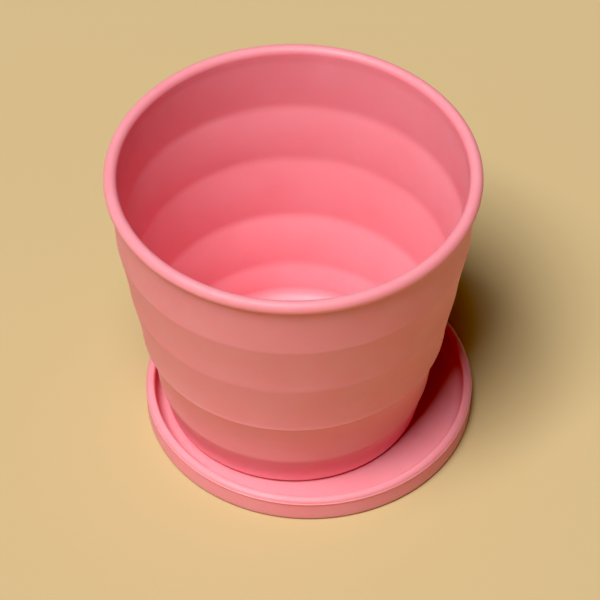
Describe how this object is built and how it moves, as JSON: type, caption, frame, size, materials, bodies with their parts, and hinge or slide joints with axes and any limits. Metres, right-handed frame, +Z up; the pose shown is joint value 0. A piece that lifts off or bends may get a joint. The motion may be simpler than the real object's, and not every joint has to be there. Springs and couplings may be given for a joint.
{
  "type": "plant pot with saucer",
  "caption": "Small stepped plastic plant pot with a rolled rim, standing loose in a matching shallow drip saucer that catches the water from its drain holes.",
  "frame": {"origin": "on the pot's axis, at the level of the surface that the saucer stands on", "axes": "+Z up along the pot's axis; +X and +Y are horizontal, and the saucer's centre lies off the pot's axis towards +X and a little towards -Y"},
  "size_m": [0.08, 0.08, 0.0697],
  "materials": {
    "pot_plastic": "satin, moulded, light pink",
    "saucer_plastic": "satin, moulded, light pink"
  },
  "bodies": {
    "saucer": {"saucer": "saucer_plastic"},
    "pot": {"pot": "pot_plastic"}
  },
  "joints": [
    {"name": "pot_lift", "type": "slide", "parent": "saucer", "child": "pot", "axis": [0, 0, 1], "range_m": [0, 0.05]}
  ]
}
